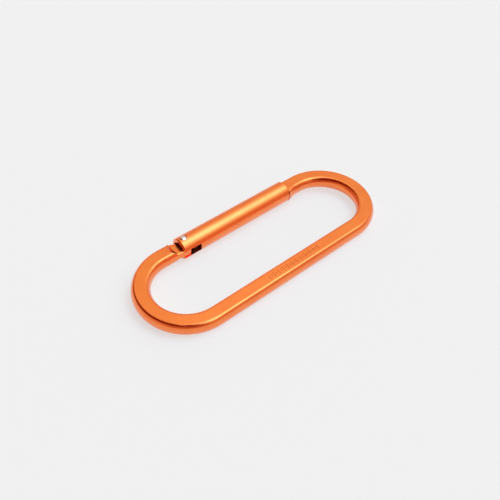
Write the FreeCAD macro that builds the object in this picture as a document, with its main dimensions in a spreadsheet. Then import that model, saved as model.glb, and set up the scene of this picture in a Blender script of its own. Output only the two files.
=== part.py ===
"""Carabiner keyring: a bent-rod body with a sprung tubular gate that swings inward.

The origin is the centre of the whole object's box. +X runs along the length towards
the nose, +Y towards the gate, and +Z out of the flat side that carries the cut marks.
All lengths are in millimetres.
"""
import FreeCAD, Part
import Sketcher
import math
import os

OUT_FOLDER = "parts"

SIZES = [
    # The body is one round rod, pressed flat on two sides and bent into a long ring.
    ("rod_width", 5.2),
    ("rod_thickness", 4.0),
    ("rod_edge", 0.8),
    ("end_radius", 12.3),
    ("end_x", 25.1),
    ("gate_y", 12.05),
    ("rod_start_x", -21.15),
    # The rod's hinge end is milled to a flat tang that enters the gate's bore.
    ("tang_thickness", 2.2),
    ("boss_radius", 1.4),
    ("cam_radius", 1.9),
    ("cam_x", -0.45),
    ("cam_drop", 1.2),
    ("tang_root_x", -23.45),
    ("tang_inner_y", 9.85),
    ("tang_outer_y", 14.4),
    ("tang_shoulder_x", -20.45),
    ("tang_neck_x", -19.55),
    ("tang_edge", 0.5),
    ("upper_relief_radius", 4.0),
    ("lower_relief_radius", 4.3),
    ("upper_relief_flare", 4.5),
    ("lower_relief_flare", 0.3),
    # The other end is the nose, which widens to the gate's size and carries a tongue.
    ("flare_x", 23.0),
    ("nose_x", 19.83),
    ("nose_inner_y", 8.86),
    ("nose_side_radius", 8.0),
    ("nose_edge", 0.95),
    ("tongue_start_x", 15.35),
    ("tongue_root_x", 21.75),
    ("tongue_inner_y", 10.45),
    ("tongue_outer_y", 14.5),
    ("tongue_edge", 0.4),
    # The gate is a round bar, bored from its hinge end and slotted at both ends.
    ("gate_diameter", 6.4),
    ("gate_start_x", -19.15),
    ("gate_finish_x", 19.7),
    ("hinge_rim", 0.5),
    ("nose_rim", 0.08),
    ("bore_diameter", 4.4),
    ("bore_depth", 24.0),
    ("slot_height", 2.36),
    ("hinge_slot_finish_x", -13.6),
    ("nose_slot_start_x", 14.85),
    ("nose_slot_floor_y", 10.4),
    # The rivet is the hinge pin, with a low domed head sunk in each side of the gate.
    ("pin_x", -17.25),
    ("pin_y", 12.4),
    ("pin_diameter", 1.5),
    ("pin_clearance", 0.05),
    ("head_diameter", 1.84),
    ("head_seat_z", 2.6),
    ("head_rim_z", 3.08),
    ("head_top_z", 3.3),
    ("recess_diameter", 2.04),
    # The plunger and its coil spring lie in the bore and push the gate shut.
    ("plunger_diameter", 4.3),
    ("plunger_gap", 0.06),
    ("plunger_head_length", 3.0),
    ("plunger_stem_diameter", 2.2),
    ("plunger_length", 6.5),
    ("plunger_chamfer", 0.2),
    ("coil_diameter", 3.3),
    ("wire_diameter", 0.5),
    ("coil_turns", 11.5),
    ("coil_end_gap", 0.03),
    # A plain row of cut strokes and dashes decorates the spine's flat.
    ("stroke_depth", 0.09),
    ("stroke_width", 0.3),
    ("stroke_height", 1.5),
    ("dash_height", 0.7),
    ("marks_start_x", -7.5),
    ("marks_pitch", 1.6),
    ("marks_count", 12),
]

ORIGIN = -1
START = 1
END = 2
CENTRE = 3


def make_sheet(document):
    """Fill the spreadsheet that every feature's sizes are bound to."""
    sheet = document.addObject("Spreadsheet::Sheet", "sizes")
    for row, (alias, value) in enumerate(SIZES, start=1):
        sheet.set(f"A{row}", alias)
        sheet.set(f"B{row}", str(value))
        sheet.setAlias(f"B{row}", alias)
    document.recompute()
    return sheet


def bound(text):
    """Turn a formula of plain size names into an expression on the spreadsheet."""
    words = {alias for alias, _ in SIZES}
    pieces = text.split()
    return " ".join(f"<<sizes>>.{piece}" if piece in words else piece for piece in pieces)


def number(item, text):
    """The value that a formula of size names has now."""
    return float(item.evalExpression(bound(text)))


def bind(item, path, text):
    item.setExpression(path, bound(text))


def new_body(document, label):
    body = document.addObject("PartDesign::Body", label)
    body.Label = label
    body.AllowCompound = True
    return body


def new_sketch(body, plane, name, across="0", up="0", out="0"):
    """A sketch on one of the body's origin planes, shifted along the sketch's own axes."""
    sketch = body.newObject("Sketcher::SketchObject", name)
    for feature in body.Origin.OriginFeatures:
        if feature.Role == plane:
            sketch.AttachmentSupport = [(feature, "")]
    sketch.MapMode = "FlatFace"
    for axis, text in (("x", across), ("y", up), ("z", out)):
        bind(sketch, f"AttachmentOffset.Base.{axis}", text)
    return sketch


def constrain(sketch, kind, *items, to=None):
    """Add one constraint, with its size bound to a formula when one is given."""
    if to is None:
        sketch.addConstraint(Sketcher.Constraint(kind, *items))
        return
    index = sketch.addConstraint(Sketcher.Constraint(kind, *items, number(sketch, to)))
    bind(sketch, f"Constraints[{index}]", to)


def place_point(sketch, element, point, across, up):
    """Hold one point of one element at a place measured from the sketch's origin."""
    constrain(sketch, "DistanceX", ORIGIN, START, element, point, to=across)
    constrain(sketch, "DistanceY", ORIGIN, START, element, point, to=up)


def add_polygon(sketch, corners):
    """A closed outline of straight sides through corners given as pairs of formulas."""
    points = [FreeCAD.Vector(number(sketch, x), number(sketch, y), 0) for x, y in corners]
    first = sketch.GeometryCount
    count = len(points)
    for index, point in enumerate(points):
        sketch.addGeometry(Part.LineSegment(point, points[(index + 1) % count]))
    for index, (x, y) in enumerate(corners):
        before = first + (index - 1) % count
        constrain(sketch, "Coincident", before, END, first + index, START)
        place_point(sketch, first + index, START, x, y)


def add_circle(sketch, diameter, across="0", up="0"):
    middle = FreeCAD.Vector(number(sketch, across), number(sketch, up), 0)
    circle = Part.Circle(middle, FreeCAD.Vector(0, 0, 1), number(sketch, diameter) / 2)
    element = sketch.addGeometry(circle)
    constrain(sketch, "Diameter", element, to=diameter)
    place_point(sketch, element, CENTRE, across, up)


def add_arc(sketch, x, y, radius, start_angle, end_angle):
    circle = Part.Circle(FreeCAD.Vector(x, y, 0), FreeCAD.Vector(0, 0, 1), radius)
    angles = (math.radians(start_angle), math.radians(end_angle))
    return sketch.addGeometry(Part.ArcOfCircle(circle, *angles))


def add_line(sketch, x1, y1, x2, y2):
    return sketch.addGeometry(
        Part.LineSegment(FreeCAD.Vector(x1, y1, 0), FreeCAD.Vector(x2, y2, 0))
    )


def add_pressed_section(sketch, left, right, height, radii, edges):
    """A round rod's section pressed flat above and below, with softened edges.

    `left` and `right` are the places of the bulging sides, and `radii` and `edges` are
    each side's own bulge radius and edge radius, left before right.
    """
    high = number(sketch, height) / 2
    sides = []
    for outward, place, radius_text, edge_text in zip((-1, 1), (left, right), radii, edges):
        radius = number(sketch, radius_text)
        edge = number(sketch, edge_text)
        middle = number(sketch, place) - outward * radius
        reach = math.sqrt((radius - edge) ** 2 - (high - edge) ** 2)
        lean = math.degrees(math.atan2(high - edge, reach))
        sides.append((middle, radius, edge, middle + outward * reach, lean))
    (x1, r1, e1, corner1, lean1), (x2, r2, e2, corner2, lean2) = sides
    bottom = add_line(sketch, corner1, -high, corner2, -high)
    low_right = add_arc(sketch, corner2, e2 - high, e2, -90, -lean2)
    side_right = add_arc(sketch, x2, 0, r2, -lean2, lean2)
    high_right = add_arc(sketch, corner2, high - e2, e2, lean2, 90)
    top = add_line(sketch, corner2, high, corner1, high)
    high_left = add_arc(sketch, corner1, high - e1, e1, 90, 180 - lean1)
    side_left = add_arc(sketch, x1, 0, r1, 180 - lean1, 180 + lean1)
    low_left = add_arc(sketch, corner1, e1 - high, e1, 180 + lean1, 270)
    chain = [bottom, low_right, side_right, high_right, top, high_left, side_left, low_left]
    for index, element in enumerate(chain):
        following = chain[(index + 1) % len(chain)]
        constrain(sketch, "Tangent", element, END, following, START)
    for element in (bottom, top):
        constrain(sketch, "Horizontal", element)
    for element in (low_left, high_left):
        constrain(sketch, "Radius", element, to=edges[0])
    for element in (low_right, high_right):
        constrain(sketch, "Radius", element, to=edges[1])
    constrain(sketch, "Radius", side_left, to=radii[0])
    constrain(sketch, "Radius", side_right, to=radii[1])
    place_point(sketch, side_left, CENTRE, f"{left} + {radii[0]}", "0")
    place_point(sketch, side_right, CENTRE, f"{right} - {radii[1]}", "0")
    constrain(sketch, "DistanceY", ORIGIN, START, top, START, to=f"{height} / 2")
    constrain(sketch, "DistanceY", ORIGIN, START, bottom, START, to=f"0 - {height} / 2")


def pad(body, sketch, name, length, both_ways=False):
    feature = body.newObject("PartDesign::Pad", name)
    feature.Profile = sketch
    feature.SideType = "Symmetric" if both_ways else "One side"
    bind(feature, "Length", length)
    return feature


def pocket(body, sketch, name, length, reverse=False, both_ways=False):
    feature = body.newObject("PartDesign::Pocket", name)
    feature.Profile = sketch
    feature.SideType = "Symmetric" if both_ways else "One side"
    feature.Reversed = reverse
    bind(feature, "Length", length)
    return feature


def turned(body, kind, sketch, name, axis):
    """A full turn of a sketch about one of its own axes, added or cut away."""
    feature = body.newObject(f"PartDesign::{kind}", name)
    feature.Profile = sketch
    feature.ReferenceAxis = (sketch, [axis])
    feature.Angle = 360
    return feature


def fillet(body, base, name, radius, wanted):
    """Round the base's edges for which `wanted` holds."""
    body.Document.recompute()
    edges = base.Shape.Edges
    names = [f"Edge{i}" for i, edge in enumerate(edges, start=1) if wanted(edge)]
    feature = body.newObject("PartDesign::Fillet", name)
    feature.Base = (base, names)
    bind(feature, "Radius", radius)
    return feature


def repeat(body, feature, name, sketch, length, count):
    pattern = body.newObject("PartDesign::LinearPattern", name)
    pattern.Originals = [feature]
    pattern.Direction = (sketch, ["H_Axis"])
    bind(pattern, "Length", length)
    bind(pattern, "Occurrences", count)
    body.Tip = pattern
    return pattern


def on_flats(thickness, beyond_x=None, before_x=None):
    """A test for edges that lie in a symmetric plate's two flats."""

    def wanted(edge):
        box = edge.BoundBox
        level = box.ZLength < 1e-6 and abs(abs(box.ZMin) - thickness / 2) < 1e-6
        past = beyond_x is None or box.XMax > beyond_x + 1e-6
        short = before_x is None or box.XMin < before_x - 1e-6
        return level and past and short

    return wanted


def add_tang(body):
    """The flat hinge tongue, whose end is a boss round the pin and a lower cam nose.

    The plunger's flat face bears on the cam nose, to the inner side of the pin, so the
    coil's push turns the gate shut. The sketch is measured from the pin's centre.
    """
    sketch = new_sketch(body, "XY_Plane", "tang_outline", "pin_x", "pin_y")
    root = number(sketch, "tang_root_x - pin_x")
    neck = number(sketch, "tang_neck_x - pin_x")
    shoulder = number(sketch, "tang_shoulder_x - pin_x")
    outer = number(sketch, "tang_outer_y - pin_y")
    boss = number(sketch, "boss_radius")
    cam = number(sketch, "cam_radius")
    cam_x = number(sketch, "cam_x")
    cam_y = -number(sketch, "cam_drop")
    inner = number(sketch, "tang_inner_y - pin_y")
    inner_side = add_line(sketch, root, inner, cam_x, cam_y - cam)
    cam_nose = add_arc(sketch, cam_x, cam_y, cam, -90, 0)
    end_side = add_line(sketch, cam_x + cam, cam_y, boss, 0)
    boss_round = add_arc(sketch, 0, 0, boss, 0, 90)
    outer_side = add_line(sketch, 0, boss, neck, boss)
    slope = add_line(sketch, neck, boss, shoulder, outer)
    wide_side = add_line(sketch, shoulder, outer, root, outer)
    root_side = add_line(sketch, root, outer, root, inner)
    smooth_chain = [inner_side, cam_nose, end_side, boss_round, outer_side]
    for element, following in zip(smooth_chain, smooth_chain[1:]):
        constrain(sketch, "Tangent", element, END, following, START)
    cornered_chain = [outer_side, slope, wide_side, root_side, inner_side]
    for element, following in zip(cornered_chain, cornered_chain[1:]):
        constrain(sketch, "Coincident", element, END, following, START)
    for level_side in (outer_side, wide_side):
        constrain(sketch, "Horizontal", level_side)
    constrain(sketch, "Vertical", root_side)
    constrain(sketch, "Coincident", boss_round, CENTRE, ORIGIN, START)
    constrain(sketch, "Radius", boss_round, to="boss_radius")
    constrain(sketch, "Radius", cam_nose, to="cam_radius")
    place_point(sketch, cam_nose, CENTRE, "cam_x", "0 - cam_drop")
    place_point(sketch, root_side, END, "tang_root_x - pin_x", "tang_inner_y - pin_y")
    constrain(sketch, "DistanceX", ORIGIN, START, slope, START, to="tang_neck_x - pin_x")
    place_point(sketch, slope, END, "tang_shoulder_x - pin_x", "tang_outer_y - pin_y")
    plate = pad(body, sketch, "tang", "tang_thickness", both_ways=True)
    wanted = on_flats(number(plate, "tang_thickness"), beyond_x=number(plate, "tang_root_x"))
    return fillet(body, plate, "tang_edges", "tang_edge", wanted)


def add_tongue(body):
    """The flat tongue on the nose that the gate's slot closes over."""
    sketch = new_sketch(body, "XY_Plane", "tongue_outline")
    corners = [
        ("tongue_start_x", "tongue_inner_y"),
        ("tongue_root_x", "tongue_inner_y"),
        ("tongue_root_x", "tongue_outer_y"),
        ("tongue_start_x", "tongue_outer_y"),
    ]
    add_polygon(sketch, corners)
    plate = pad(body, sketch, "tongue", "tang_thickness", both_ways=True)
    flats = on_flats(number(plate, "tang_thickness"), before_x=number(plate, "tongue_root_x"))
    first_x = number(plate, "tongue_start_x") - 1

    def wanted(edge):
        return flats(edge) and edge.BoundBox.XMin > first_x

    return fillet(body, plate, "tongue_edges", "tongue_edge", wanted)


def add_rod_section(sketch):
    """The rod's own section, the same on both sides."""
    add_pressed_section(
        sketch,
        "0 - rod_width / 2",
        "rod_width / 2",
        "rod_thickness",
        ("rod_width / 2", "rod_width / 2"),
        ("rod_edge", "rod_edge"),
    )


def add_rod(body):
    """The rod itself, swept along the ring from the hinge round to the nose."""
    route = new_sketch(body, "XY_Plane", "route", up="gate_y - end_radius")
    end_x = number(route, "end_x")
    radius = number(route, "end_radius")
    hinge_run = add_line(route, number(route, "rod_start_x"), radius, -end_x, radius)
    hinge_bend = add_arc(route, -end_x, 0, radius, 90, 270)
    spine = add_line(route, -end_x, -radius, end_x, -radius)
    nose_bend = add_arc(route, end_x, 0, radius, -90, 90)
    nose_run = add_line(route, end_x, radius, number(route, "flare_x"), radius)
    chain = [hinge_run, hinge_bend, spine, nose_bend, nose_run]
    for element, following in zip(chain, chain[1:]):
        constrain(route, "Tangent", element, END, following, START)
    for level_run in (hinge_run, spine, nose_run):
        constrain(route, "Horizontal", level_run)
    constrain(route, "Radius", hinge_bend, to="end_radius")
    place_point(route, hinge_bend, CENTRE, "0 - end_x", "0")
    constrain(route, "DistanceX", ORIGIN, START, nose_bend, CENTRE, to="end_x")
    constrain(route, "DistanceX", ORIGIN, START, hinge_run, START, to="rod_start_x")
    constrain(route, "DistanceX", ORIGIN, START, nose_run, END, to="flare_x")
    section = new_sketch(body, "YZ_Plane", "rod_section", across="gate_y", out="rod_start_x")
    add_rod_section(section)
    rod = body.newObject("PartDesign::AdditivePipe", "rod")
    rod.Profile = section
    rod.Spine = (route, [f"Edge{index}" for index in range(1, len(chain) + 1)])
    return rod


def add_nose(body):
    """The nose: the rod's last stretch, which grows inward to meet the gate's side."""
    root = new_sketch(body, "YZ_Plane", "nose_root", across="gate_y", out="flare_x")
    add_rod_section(root)
    face = new_sketch(body, "YZ_Plane", "nose_face", across="gate_y", out="nose_x")
    add_pressed_section(
        face,
        "nose_inner_y - gate_y",
        "rod_width / 2",
        "rod_thickness",
        ("nose_side_radius", "rod_width / 2"),
        ("nose_edge", "rod_edge"),
    )
    nose = body.newObject("PartDesign::AdditiveLoft", "nose")
    nose.Profile = root
    nose.Sections = [face]
    nose.Ruled = True
    return nose


def cut_relief(body):
    """A round step about the hinge pin, above and below the tang.

    The upper step is a wide shallow dish. The lower one has a steep wall and is only
    as wide as the swinging gate needs.
    """
    sketch = new_sketch(body, "XZ_Plane", "relief_section", across="pin_x", out="0 - pin_y")
    for sign, side in (("", "upper"), ("0 - ", "lower")):
        radius = f"{side}_relief_radius"
        corners = [
            ("0", f"{sign}tang_thickness / 2"),
            (radius, f"{sign}tang_thickness / 2"),
            (f"{radius} + {side}_relief_flare", f"{sign}rod_thickness"),
            ("0", f"{sign}rod_thickness"),
        ]
        add_polygon(sketch, corners)
    return turned(body, "Groove", sketch, "relief", "V_Axis")


def cut_pin_hole(body):
    sketch = new_sketch(body, "XY_Plane", "pin_hole_outline")
    add_circle(sketch, "pin_diameter + 2 * pin_clearance", "pin_x", "pin_y")
    return pocket(body, sketch, "pin_hole", "rod_thickness", both_ways=True)


def cut_marks(body):
    """The plain decoration on the spine: tall strokes with a short dash in each space."""
    spine_y = "gate_y - 2 * end_radius"
    half_pitch = "marks_start_x + marks_pitch / 2"
    rows = [
        ("stroke", "stroke_height", "marks_start_x", "marks_count"),
        ("dash", "dash_height", half_pitch, "marks_count - 1"),
    ]
    for name, height, start_x, count in rows:
        sketch = new_sketch(
            body, "XY_Plane", f"{name}_outline", start_x, spine_y, "rod_thickness / 2"
        )
        corners = [
            ("0 - stroke_width / 2", f"0 - {height} / 2"),
            ("stroke_width / 2", f"0 - {height} / 2"),
            ("stroke_width / 2", f"{height} / 2"),
            ("0 - stroke_width / 2", f"{height} / 2"),
        ]
        add_polygon(sketch, corners)
        cut = pocket(body, sketch, name, "stroke_depth")
        length = f"marks_pitch * ( {count} - 1 )"
        repeat(body, cut, f"{name}_row", sketch, length, count)


def make_body_frame(document):
    """The carabiner's one-piece body: rod, tang, nose and tongue."""
    body = new_body(document, "body_frame")
    add_tang(body)
    add_tongue(body)
    add_rod(body)
    add_nose(body)
    cut_relief(body)
    cut_pin_hole(body)
    cut_marks(body)
    return body


def make_gate_sleeve(document):
    """The gate: a round bar with a blind bore, a hinge slot and a nose slot."""
    body = new_body(document, "gate_sleeve")
    outline = new_sketch(body, "YZ_Plane", "bar_outline", across="gate_y", out="gate_start_x")
    add_circle(outline, "gate_diameter")
    bar = pad(body, outline, "bar", "gate_finish_x - gate_start_x")
    rounded = fillet(body, bar, "hinge_end", "hinge_rim", lambda edge: edge.BoundBox.XMax < 0)
    fillet(body, rounded, "nose_end", "nose_rim", lambda edge: edge.BoundBox.XMin > 0)

    mouth = new_sketch(body, "YZ_Plane", "bore_outline", across="gate_y", out="gate_start_x")
    add_circle(mouth, "bore_diameter")
    pocket(body, mouth, "bore", "bore_depth", reverse=True)

    hinge_slot = new_sketch(body, "XZ_Plane", "hinge_slot_outline", out="0 - gate_y")
    corners = [
        ("gate_start_x - 1", "0 - slot_height / 2"),
        ("hinge_slot_finish_x", "0 - slot_height / 2"),
        ("hinge_slot_finish_x", "slot_height / 2"),
        ("gate_start_x - 1", "slot_height / 2"),
    ]
    add_polygon(hinge_slot, corners)
    pocket(body, hinge_slot, "hinge_slot", "gate_diameter", reverse=True)

    nose_slot = new_sketch(body, "XZ_Plane", "nose_slot_outline", out="0 - nose_slot_floor_y")
    corners = [
        ("nose_slot_start_x", "0 - slot_height / 2"),
        ("gate_finish_x + 1", "0 - slot_height / 2"),
        ("gate_finish_x + 1", "slot_height / 2"),
        ("nose_slot_start_x", "slot_height / 2"),
    ]
    add_polygon(nose_slot, corners)
    pocket(body, nose_slot, "nose_slot", "gate_diameter")

    rivet_hole = new_sketch(body, "XZ_Plane", "rivet_hole_section", "pin_x", out="0 - pin_y")
    corners = [
        ("0", "0 - gate_diameter"),
        ("recess_diameter / 2", "0 - gate_diameter"),
        ("recess_diameter / 2", "0 - head_seat_z"),
        ("pin_diameter / 2", "0 - head_seat_z"),
        ("pin_diameter / 2", "head_seat_z"),
        ("recess_diameter / 2", "head_seat_z"),
        ("recess_diameter / 2", "gate_diameter"),
        ("0", "gate_diameter"),
    ]
    add_polygon(rivet_hole, corners)
    turned(body, "Groove", rivet_hole, "rivet_hole", "V_Axis")
    return body


def make_hinge_rivet(document):
    """The hinge pin: a plain shank with a low domed head at each end."""
    body = new_body(document, "hinge_rivet")
    sketch = new_sketch(body, "XZ_Plane", "rivet_section", "pin_x", out="0 - pin_y")
    shank = number(sketch, "pin_diameter / 2")
    head = number(sketch, "head_diameter / 2")
    seat = number(sketch, "head_seat_z")
    rim = number(sketch, "head_rim_z")
    top = number(sketch, "head_top_z")
    rise = top - rim
    dome_radius = (head ** 2 + rise ** 2) / (2 * rise)
    half_angle = math.degrees(math.asin(head / dome_radius))
    axis_side = add_line(sketch, 0, top, 0, -top)
    low_dome = add_arc(sketch, 0, dome_radius - top, dome_radius, -90, half_angle - 90)
    low_rim = add_line(sketch, head, -rim, head, -seat)
    low_seat = add_line(sketch, head, -seat, shank, -seat)
    shank_side = add_line(sketch, shank, -seat, shank, seat)
    high_seat = add_line(sketch, shank, seat, head, seat)
    high_rim = add_line(sketch, head, seat, head, rim)
    high_dome = add_arc(sketch, 0, top - dome_radius, dome_radius, 90 - half_angle, 90)
    chain = [
        axis_side, low_dome, low_rim, low_seat, shank_side, high_seat, high_rim, high_dome
    ]
    for index, element in enumerate(chain):
        following = chain[(index + 1) % len(chain)]
        constrain(sketch, "Coincident", element, END, following, START)
    place_point(sketch, axis_side, START, "0", "head_top_z")
    place_point(sketch, axis_side, END, "0", "0 - head_top_z")
    place_point(sketch, low_rim, START, "head_diameter / 2", "0 - head_rim_z")
    place_point(sketch, low_rim, END, "head_diameter / 2", "0 - head_seat_z")
    place_point(sketch, shank_side, START, "pin_diameter / 2", "0 - head_seat_z")
    place_point(sketch, shank_side, END, "pin_diameter / 2", "head_seat_z")
    place_point(sketch, high_rim, START, "head_diameter / 2", "head_seat_z")
    place_point(sketch, high_rim, END, "head_diameter / 2", "head_rim_z")
    for dome in (low_dome, high_dome):
        constrain(sketch, "PointOnObject", dome, CENTRE, axis_side)
    turned(body, "Revolution", sketch, "rivet", "V_Axis")
    return body


PLUNGER_FACE = "pin_x + cam_x + cam_radius + plunger_gap"


def make_plunger(document):
    """The plunger: a flat-faced head that slides in the bore, with a stem for the coil."""
    body = new_body(document, "plunger")
    sketch = new_sketch(body, "XZ_Plane", "plunger_section", PLUNGER_FACE, out="0 - gate_y")
    corners = [
        ("0", "0"),
        ("plunger_length", "0"),
        ("plunger_length", "plunger_stem_diameter / 2"),
        ("plunger_head_length", "plunger_stem_diameter / 2"),
        ("plunger_head_length", "plunger_diameter / 2"),
        ("plunger_chamfer", "plunger_diameter / 2"),
        ("0", "plunger_diameter / 2 - plunger_chamfer"),
    ]
    add_polygon(sketch, corners)
    turned(body, "Revolution", sketch, "plunger_turned", "H_Axis")
    return body


def make_return_spring(document):
    """The compression coil between the plunger's head and the bore's blind end."""
    body = new_body(document, "return_spring")
    inset = "wire_diameter / 2 + coil_end_gap"
    first_x = f"{PLUNGER_FACE} + plunger_head_length + {inset}"
    last_x = f"gate_start_x + bore_depth - ( {inset} )"
    wire = new_sketch(body, "XZ_Plane", "wire_section", first_x, out="0 - gate_y")
    add_circle(wire, "wire_diameter", up="coil_diameter / 2")
    coil = body.newObject("PartDesign::AdditiveHelix", "coil")
    coil.Profile = wire
    coil.ReferenceAxis = (wire, ["H_Axis"])
    coil.Mode = "height-turns-angle"
    bind(coil, "Height", f"{last_x} - ( {first_x} )")
    bind(coil, "Turns", "coil_turns")
    return body


def failed_objects(document):
    return [item.Label for item in document.Objects if {"Invalid", "Error"} & set(item.State)]


def main():
    document = FreeCAD.newDocument("carabiner")
    make_sheet(document)
    bodies = [
        make_body_frame(document),
        make_gate_sleeve(document),
        make_hinge_rivet(document),
        make_plunger(document),
        make_return_spring(document),
    ]
    document.recompute()
    failed = failed_objects(document)
    if failed:
        raise RuntimeError(f"objects that failed: {failed}")
    for body in bodies:
        shape = body.Shape
        if shape.isNull() or not shape.isValid():
            raise RuntimeError(f"{body.Label} has no valid shape")
        if len(shape.Solids) != 1:
            raise RuntimeError(f"{body.Label} has {len(shape.Solids)} solids, not one")
    os.makedirs(OUT_FOLDER, exist_ok=True)
    for body in bodies:
        body.Shape.exportStep(os.path.join(OUT_FOLDER, f"{body.Label}.step"))
        box = body.Shape.BoundBox
        print(f"{body.Label}: {body.Shape.Volume:.1f} mm3, {box}")


main()
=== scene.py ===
"""Looks for the carabiner keyring: materials, a pale table, soft studio light and the camera."""
import math

import bpy
from mathutils import Matrix, Vector


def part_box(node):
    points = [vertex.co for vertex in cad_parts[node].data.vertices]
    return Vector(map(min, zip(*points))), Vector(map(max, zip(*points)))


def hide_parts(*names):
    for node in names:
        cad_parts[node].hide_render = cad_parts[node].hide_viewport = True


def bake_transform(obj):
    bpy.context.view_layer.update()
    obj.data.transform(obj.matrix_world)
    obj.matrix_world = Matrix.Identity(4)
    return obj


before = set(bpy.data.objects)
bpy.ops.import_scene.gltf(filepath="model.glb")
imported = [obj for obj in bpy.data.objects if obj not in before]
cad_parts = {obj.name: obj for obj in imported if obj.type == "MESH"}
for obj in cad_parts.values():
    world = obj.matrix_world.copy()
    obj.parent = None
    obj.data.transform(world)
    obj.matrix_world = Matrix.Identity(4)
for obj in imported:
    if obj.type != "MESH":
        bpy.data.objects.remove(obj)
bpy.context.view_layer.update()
MM = 0.001

# The camera, as an orbit about a point near the middle of the ring.
CAMERA_AZIMUTH = math.radians(-42.0)
CAMERA_ELEVATION = math.radians(46.8)
CAMERA_ROLL = math.radians(2.4)
CAMERA_DISTANCE = 172.8 * MM
CAMERA_LENS_MM = 44.75
SENSOR_MM = 36.0
CAMERA_AIM = Vector((-3.91, -0.45, 0.0)) * MM


def new_material(name):
    """A material with an empty node tree, its output and one Principled shader."""
    material = bpy.data.materials.new(name)
    material.use_nodes = True
    tree = material.node_tree
    tree.nodes.clear()
    output = tree.nodes.new("ShaderNodeOutputMaterial")
    shader = tree.nodes.new("ShaderNodeBsdfPrincipled")
    tree.links.new(shader.outputs["BSDF"], output.inputs["Surface"])
    return material, tree, shader


def noise(tree, scale, vector, detail=2.0, roughness=0.5):
    """Cloudy noise in 0..1, with `scale` cells to the metre."""
    node = tree.nodes.new("ShaderNodeTexNoise")
    node.inputs["Scale"].default_value = scale
    node.inputs["Detail"].default_value = detail
    node.inputs["Roughness"].default_value = roughness
    tree.links.new(vector, node.inputs["Vector"])
    return node.outputs["Fac"]


def object_coordinates(tree):
    """Where a point lies on its piece, in metres."""
    return tree.nodes.new("ShaderNodeTexCoord").outputs["Object"]


def remap(tree, value, low, high, to_low, to_high):
    """Map a value's range low..high onto to_low..to_high, clamped."""
    node = tree.nodes.new("ShaderNodeMapRange")
    tree.links.new(value, node.inputs["Value"])
    for name, number in (
        ("From Min", low),
        ("From Max", high),
        ("To Min", to_low),
        ("To Max", to_high),
    ):
        node.inputs[name].default_value = number
    return node.outputs["Result"]


def mix_colours(tree, factor, first, second):
    """Blend two colours by a factor in 0..1."""
    node = tree.nodes.new("ShaderNodeMix")
    node.data_type = "RGBA"
    tree.links.new(factor, node.inputs["Factor"])
    for name, colour in (("A", first), ("B", second)):
        target = [item for item in node.inputs if item.name == name and item.type == "RGBA"][0]
        target.default_value = (*colour, 1.0)
    return [item for item in node.outputs if item.type == "RGBA"][0]


def bump(tree, height, strength):
    """A normal that follows a fine grain."""
    node = tree.nodes.new("ShaderNodeBump")
    node.inputs["Strength"].default_value = strength
    node.inputs["Distance"].default_value = GRAIN_DEPTH
    tree.links.new(height, node.inputs["Height"])
    return node.outputs["Normal"]


# Sizes of the surfaces' patterns, in noise cells per metre, and the depth of their grain.
BLOTCHES_SCALE = 180.0
UNEVEN_SCALE = 900.0
BLASTED_SCALE = 9000.0
TURNED_SCALE = 6000.0
STEEL_SCALE = 2500.0
GRAIN_DEPTH = 0.01 * MM

ANODISED = (1.0, 0.245, 0.045)
ANODISED_DEEP = (0.96, 0.215, 0.036)
ANODISED_ROUGHNESS = (0.21, 0.27)


def anodised(name):
    """Bead-blasted aluminium with a clear orange anodised layer."""
    material, tree, shader = new_material(name)
    where = object_coordinates(tree)
    patches = noise(tree, BLOTCHES_SCALE, where, detail=3.0)
    blotches = remap(tree, patches, 0.35, 0.65, 0.0, 1.0)
    colour = mix_colours(tree, blotches, ANODISED, ANODISED_DEEP)
    tree.links.new(colour, shader.inputs["Base Color"])
    grain = noise(tree, BLASTED_SCALE, where, roughness=0.6)
    uneven = noise(tree, UNEVEN_SCALE, where)
    rough = remap(tree, uneven, 0.3, 0.7, *ANODISED_ROUGHNESS)
    tree.links.new(rough, shader.inputs["Roughness"])
    tree.links.new(bump(tree, grain, 0.12), shader.inputs["Normal"])
    shader.inputs["Metallic"].default_value = 1.0
    shader.inputs["Coat Weight"].default_value = 0.9
    shader.inputs["Coat Roughness"].default_value = 0.3
    return material


def steel(name, colour, roughness):
    """Bare steel, a little uneven in brightness, gloss and height."""
    material, tree, shader = new_material(name)
    where = object_coordinates(tree)
    patches = noise(tree, STEEL_SCALE, where, detail=3.0, roughness=0.6)
    shade = remap(tree, patches, 0.3, 0.7, 0.0, 1.0)
    darker = tuple(0.8 * part for part in colour)
    tree.links.new(mix_colours(tree, shade, colour, darker), shader.inputs["Base Color"])
    grain = noise(tree, TURNED_SCALE, where, roughness=0.6)
    rough = remap(tree, grain, 0.3, 0.7, 0.8 * roughness, 1.2 * roughness)
    tree.links.new(rough, shader.inputs["Roughness"])
    tree.links.new(bump(tree, grain, 0.2), shader.inputs["Normal"])
    shader.inputs["Metallic"].default_value = 1.0
    return material


def give(node, material):
    """Put one material on the whole of a CAD node."""
    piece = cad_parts[node]
    piece.data.materials.clear()
    piece.data.materials.append(material)


give("body_frame", anodised("orange_anodised_body"))
give("gate_sleeve", anodised("orange_anodised_gate"))
give("hinge_rivet", steel("bright_steel", (0.82, 0.83, 0.96), 0.22))
give("plunger", steel("black_steel", (0.05, 0.045, 0.045), 0.4))


def add_coil():
    """The coil spring between the plunger and the end of the bore: a steel copy of the CAD node,
    which is hidden.
    """
    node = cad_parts["return_spring"]
    coil = bpy.data.objects.new("return_coil", node.data.copy())
    bpy.context.scene.collection.objects.link(coil)
    coil.data.materials.clear()
    coil.data.materials.append(steel("spring_wire", (0.5, 0.5, 0.5), 0.3))
    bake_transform(coil)
    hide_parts("return_spring")


add_coil()


# How far the pressed flat ends from the rod's side.
EDGE_INSET = 1.26 * MM
TABLE_HALF = 1.5
TABLE_COLOUR = (0.35, 0.35, 0.35)
TABLE_GLOW = (0.585, 0.619, 0.634)


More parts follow.
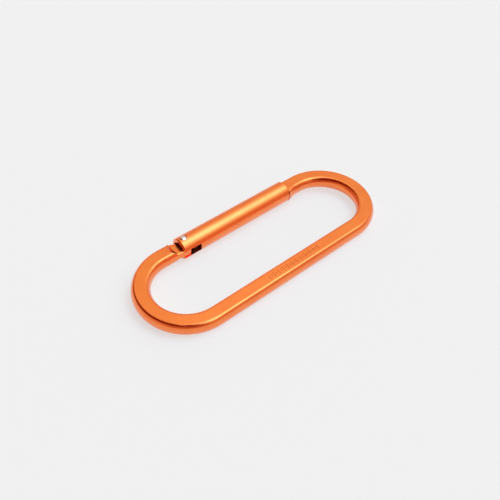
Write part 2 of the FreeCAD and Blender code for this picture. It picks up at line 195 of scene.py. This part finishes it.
def resting_plane():
    """A point on the table and its upward normal, from where the ring touches it.

    The gate and its rivet stand below the body's flat, so the ring rests on the rivet
    and on the spine's lower outer edge, tipped about its length.
    """
    body_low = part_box("body_frame")[0]
    gate_low, gate_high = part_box("gate_sleeve")
    rivet_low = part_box("hinge_rivet")[0]
    edge_y = body_low.y + EDGE_INSET
    edge_z = body_low.z
    gate_y = (gate_low.y + gate_high.y) / 2
    tilt = math.atan2(edge_z - rivet_low.z, gate_y - edge_y)
    normal = Vector((0.0, math.sin(tilt), math.cos(tilt)))
    touch = Vector((0.0, edge_y, edge_z))
    return touch, normal


def add_table():
    """A large pale light table under the ring, whose own glow keeps the shadows faint."""
    touch, normal = resting_plane()
    mesh = bpy.data.meshes.new("table_top")
    quarters = ((-1, -1), (1, -1), (1, 1), (-1, 1))
    corners = [(TABLE_HALF * x, TABLE_HALF * y, 0.0) for x, y in quarters]
    mesh.from_pydata(corners, [], [(0, 1, 2, 3)])
    table = bpy.data.objects.new("table_top", mesh)
    bpy.context.scene.collection.objects.link(table)
    turn = Vector((0.0, 0.0, 1.0)).rotation_difference(normal).to_matrix().to_4x4()
    table.matrix_world = Matrix.Translation(touch) @ turn
    material, _, shader = new_material("light_table")
    shader.inputs["Base Color"].default_value = (*TABLE_COLOUR, 1.0)
    shader.inputs["Roughness"].default_value = 0.9
    shader.inputs["Emission Color"].default_value = (*TABLE_GLOW, 1.0)
    shader.inputs["Emission Strength"].default_value = 1.0
    shader.inputs["Specular IOR Level"].default_value = 0.1
    mesh.materials.append(material)


# The studio's level over the sky, by the lean in degrees from the zenith towards +Y.
SKY_LEVELS = [
    (-90.0, 0.30),
    (-70.0, 0.42),
    (-45.0, 0.60),
    (-10.0, 0.80),
    (35.0, 0.80),
    (55.0, 0.66),
    (90.0, 0.54),
]
# One soft box: its lean from the zenith and its half width, towards +X and towards +Y.
SOFT_BOX_LEAN = (22.0, -17.0)
SOFT_BOX_SPREAD = (19.0, 30.0)
SOFT_BOX_LEVEL = 4.0
# A black drape hangs on the -X side: it starts just past the zenith and ends low down.
DRAPE_EDGE_X = (-0.12, 0.02)
DRAPE_FOOT_Z = (0.05, 0.40)
DRAPE_LEVEL = 0.01
# The colour of each level of light: the dim parts of the room are warm.
LIGHT_COLOURS = [
    (0.0, (0.16, 0.01, 0.0)),
    (0.04, (0.28, 0.04, 0.0)),
    (0.2, (0.52, 0.20, 0.06)),
    (0.4, (0.70, 0.40, 0.21)),
    (0.6, (0.80, 0.60, 0.45)),
    (0.88, (0.84, 0.81, 0.48)),
    (6.0, (4.2, 4.6, 6.0)),
]
BRIGHTEST = 6.0
# What the camera itself sees beyond the table.
BACKDROP = (0.88, 0.88, 0.88)


def ramp(tree, value, stops):
    """A colour ramp from (position, colour) stops, with its positions in 0..1."""
    node = tree.nodes.new("ShaderNodeValToRGB")
    elements = node.color_ramp.elements
    while len(elements) > 1:
        elements.remove(elements[-1])
    for index, (position, colour) in enumerate(stops):
        stop = elements[0] if index == 0 else elements.new(position)
        stop.position = position
        stop.color = (*colour, 1.0)
    tree.links.new(value, node.inputs["Fac"])
    return node.outputs["Color"]


def add_studio_light():
    """A world with one soft box high on the +X side, a pale sky and a black drape."""
    world = bpy.data.worlds.new("studio")
    bpy.context.scene.world = world
    world.use_nodes = True
    tree = world.node_tree
    tree.nodes.clear()
    link = tree.links.new

    def math_node(operation, *values):
        """One sum on numbers or other nodes' outputs."""
        node = tree.nodes.new("ShaderNodeMath")
        node.operation = operation
        for target, value in zip(node.inputs, values):
            if isinstance(value, float):
                target.default_value = value
            else:
                link(value, target)
        return node.outputs["Value"]

    direction = tree.nodes.new("ShaderNodeTexCoord").outputs["Generated"]
    split = tree.nodes.new("ShaderNodeSeparateXYZ")
    link(direction, split.inputs["Vector"])
    x, y, z = (split.outputs[axis] for axis in "XYZ")
    leans = [math_node("DEGREES", math_node("ARCTAN2", side, z)) for side in (x, y)]

    squares = []
    for lean, middle, spread in zip(leans, SOFT_BOX_LEAN, SOFT_BOX_SPREAD):
        offset = math_node("DIVIDE", math_node("SUBTRACT", lean, middle), spread)
        squares.append(math_node("MULTIPLY", offset, offset))
    fall = math_node("MULTIPLY", math_node("ADD", *squares), -1.0)
    soft_box = math_node("MULTIPLY", math_node("EXPONENT", fall), SOFT_BOX_LEVEL)

    across = remap(tree, leans[1], -90.0, 90.0, 0.0, 1.0)
    sky_stops = [((lean + 90.0) / 180.0, (level,) * 3) for lean, level in SKY_LEVELS]
    sky = math_node("ADD", ramp(tree, across, sky_stops), soft_box)
    past_edge = remap(tree, x, *DRAPE_EDGE_X, 1.0, 0.0)
    above_foot = remap(tree, z, *DRAPE_FOOT_Z, 0.0, 1.0)
    drape = math_node("MULTIPLY", past_edge, above_foot)
    left = math_node("SUBTRACT", 1.0, math_node("MULTIPLY", drape, 1.0 - DRAPE_LEVEL))
    level = math_node("DIVIDE", math_node("MULTIPLY", sky, left), BRIGHTEST)

    colours = [
        (place / BRIGHTEST, tuple(part / BRIGHTEST for part in colour))
        for place, colour in LIGHT_COLOURS
    ]
    lit = tree.nodes.new("ShaderNodeBackground")
    lit.inputs["Strength"].default_value = BRIGHTEST
    link(ramp(tree, level, colours), lit.inputs["Color"])
    plain = tree.nodes.new("ShaderNodeBackground")
    plain.inputs["Color"].default_value = (*BACKDROP, 1.0)
    seen = tree.nodes.new("ShaderNodeLightPath").outputs["Is Camera Ray"]
    mix = tree.nodes.new("ShaderNodeMixShader")
    link(seen, mix.inputs["Fac"])
    link(lit.outputs["Background"], mix.inputs[1])
    link(plain.outputs["Background"], mix.inputs[2])
    output = tree.nodes.new("ShaderNodeOutputWorld")
    link(mix.outputs["Shader"], output.inputs["Surface"])


def add_camera():
    """The camera, looking down on the ring from its hinge end and spine side."""
    a, e = CAMERA_AZIMUTH, CAMERA_ELEVATION
    back = Vector((math.sin(a) * math.cos(e), -math.cos(a) * math.cos(e), math.sin(e)))
    level_right = Vector((math.cos(a), math.sin(a), 0.0))
    level_up = back.cross(level_right)
    right = math.cos(CAMERA_ROLL) * level_right + math.sin(CAMERA_ROLL) * level_up
    up = back.cross(right)
    data = bpy.data.cameras.new("camera")
    data.lens = CAMERA_LENS_MM
    data.sensor_width = SENSOR_MM
    data.clip_start = 10 * MM
    data.clip_end = 10.0
    camera = bpy.data.objects.new("camera", data)
    bpy.context.scene.collection.objects.link(camera)
    axes = Matrix((right, up, back)).transposed().to_4x4()
    camera.matrix_world = Matrix.Translation(CAMERA_AIM + back * CAMERA_DISTANCE) @ axes
    bpy.context.scene.camera = camera


add_table()
add_studio_light()
add_camera()

bpy.context.scene.view_settings.view_transform = "Standard"
bpy.context.scene.view_settings.look = "None"
